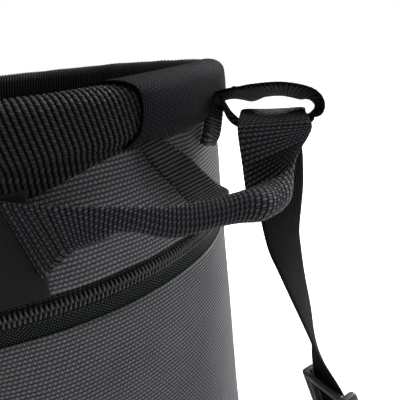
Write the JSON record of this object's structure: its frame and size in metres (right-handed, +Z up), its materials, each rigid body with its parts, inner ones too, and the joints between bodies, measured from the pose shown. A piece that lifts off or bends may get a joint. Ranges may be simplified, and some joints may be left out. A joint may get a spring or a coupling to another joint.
{
  "type": "rope storage bag",
  "caption": "Open-topped cylindrical fabric rope bag with a padded hoop rim, zipped front pocket, side loops and adjustable webbing shoulder straps.",
  "frame": {"origin": "centre of the base, on the surface that the bag stands on", "axes": "+Z up out of the mouth, -Y towards the zipped front, +X and -X towards the two shoulder straps"},
  "size_m": [0.437, 0.303, 0.4026],
  "materials": {
    "webbing": "woven black webbing, transverse ribs, satin",
    "rim_webbing": "heavily ribbed black webbing",
    "sleeve_fabric": "fine woven black fabric",
    "shell_fabric": "coated gray coarse plain weave, matte",
    "lining_fabric": "smooth dark coated lining",
    "base_fabric": "heavy coated black fabric",
    "board_plastic": "smooth sheet",
    "binding_tape": "narrow black tape",
    "zip_tape": "dark knitted tape",
    "zip_coil": "black nylon coil",
    "zip_metal": "black clip",
    "zip_slider_metal": "black painted casting, satin",
    "hoop_plastic": "extruded rod",
    "ferrule_metal": "plain tube",
    "foam": "closed-cell foam",
    "slider_plastic": "moulded dark gray plastic, satin",
    "eyelet_metal": "dark plated eyelet"
  },
  "bodies": {
    "bag": {"base_panel": "base_fabric", "base_board": "board_plastic", "base_binding": "binding_tape", "liner_floor": "lining_fabric", "liner": "lining_fabric", "pocket_panel": "shell_fabric", "collar_panel": "shell_fabric", "back_panel": "shell_fabric", "side_seam_tapes": "binding_tape", "zip_tape_lower": "zip_tape", "zip_tape_upper": "zip_tape", "zip_coil_lower": "zip_coil", "zip_coil_upper": "zip_coil", "zip_stops": "zip_metal", "zip_end_tabs": "zip_tape", "rim_hoop": "hoop_plastic", "hoop_ferrule": "ferrule_metal", "rim_foam": "foam", "rim_cover": "rim_webbing", "sleeve_right": "sleeve_fabric", "sleeve_left": "sleeve_fabric", "loop_anchor_right": "webbing", "loop_anchor_left": "webbing", "rim_loop_right": "webbing", "rim_loop_left": "webbing", "gear_loop_right": "webbing", "gear_loop_left": "webbing", "anchor_strip_right": "webbing", "anchor_strip_left": "webbing", "front_strap_right": "webbing", "front_strap_left": "webbing", "base_tab_right": "webbing", "base_tab_left": "webbing", "haul_handle": "webbing", "handle_grip": "sleeve_fabric", "tie_loop_base": "webbing", "tie_loop_top": "webbing", "drain_eyelets": "eyelet_metal"},
    "zip_slider": {"zip_slider": "zip_slider_metal"},
    "zip_pull": {"zip_pull": "zip_slider_metal"},
    "shoulder_strap_right": {"shoulder_strap_right": "webbing"},
    "shoulder_strap_left": {"shoulder_strap_left": "webbing"},
    "strap_slider_right": {"strap_slider_right": "slider_plastic"},
    "strap_slider_left": {"strap_slider_left": "slider_plastic"}
  },
  "joints": [
    {"name": "zip_travel", "type": "hinge", "parent": "bag", "child": "zip_slider", "pos_m": [0, 0, 0.317], "axis": [0, 0, 1], "range_deg": [0, 218]},
    {"name": "zip_pull_swing", "type": "hinge", "parent": "zip_slider", "child": "zip_pull", "pos_m": [-0.12802, 0.04408, 0.317], "axis": [0.3256, 0.9455, 0], "range_deg": [0, 150]},
    {"name": "strap_swing_right", "type": "hinge", "parent": "bag", "child": "shoulder_strap_right", "pos_m": [0.145, 0, 0.03], "axis": [0.0555, 0, 0.9985], "range_deg": [-40, 40]},
    {"name": "strap_swing_left", "type": "hinge", "parent": "bag", "child": "shoulder_strap_left", "pos_m": [-0.145, 0, 0.03], "axis": [-0.0555, 0, 0.9985], "range_deg": [-40, 40]},
    {"name": "strap_slide_right", "type": "slide", "parent": "shoulder_strap_right", "child": "strap_slider_right", "axis": [0.2676, 0, -0.9635], "range_m": [0, 0.025]},
    {"name": "strap_slide_left", "type": "slide", "parent": "shoulder_strap_left", "child": "strap_slider_left", "axis": [-0.2676, 0, -0.9635], "range_m": [0, 0.025]}
  ]
}
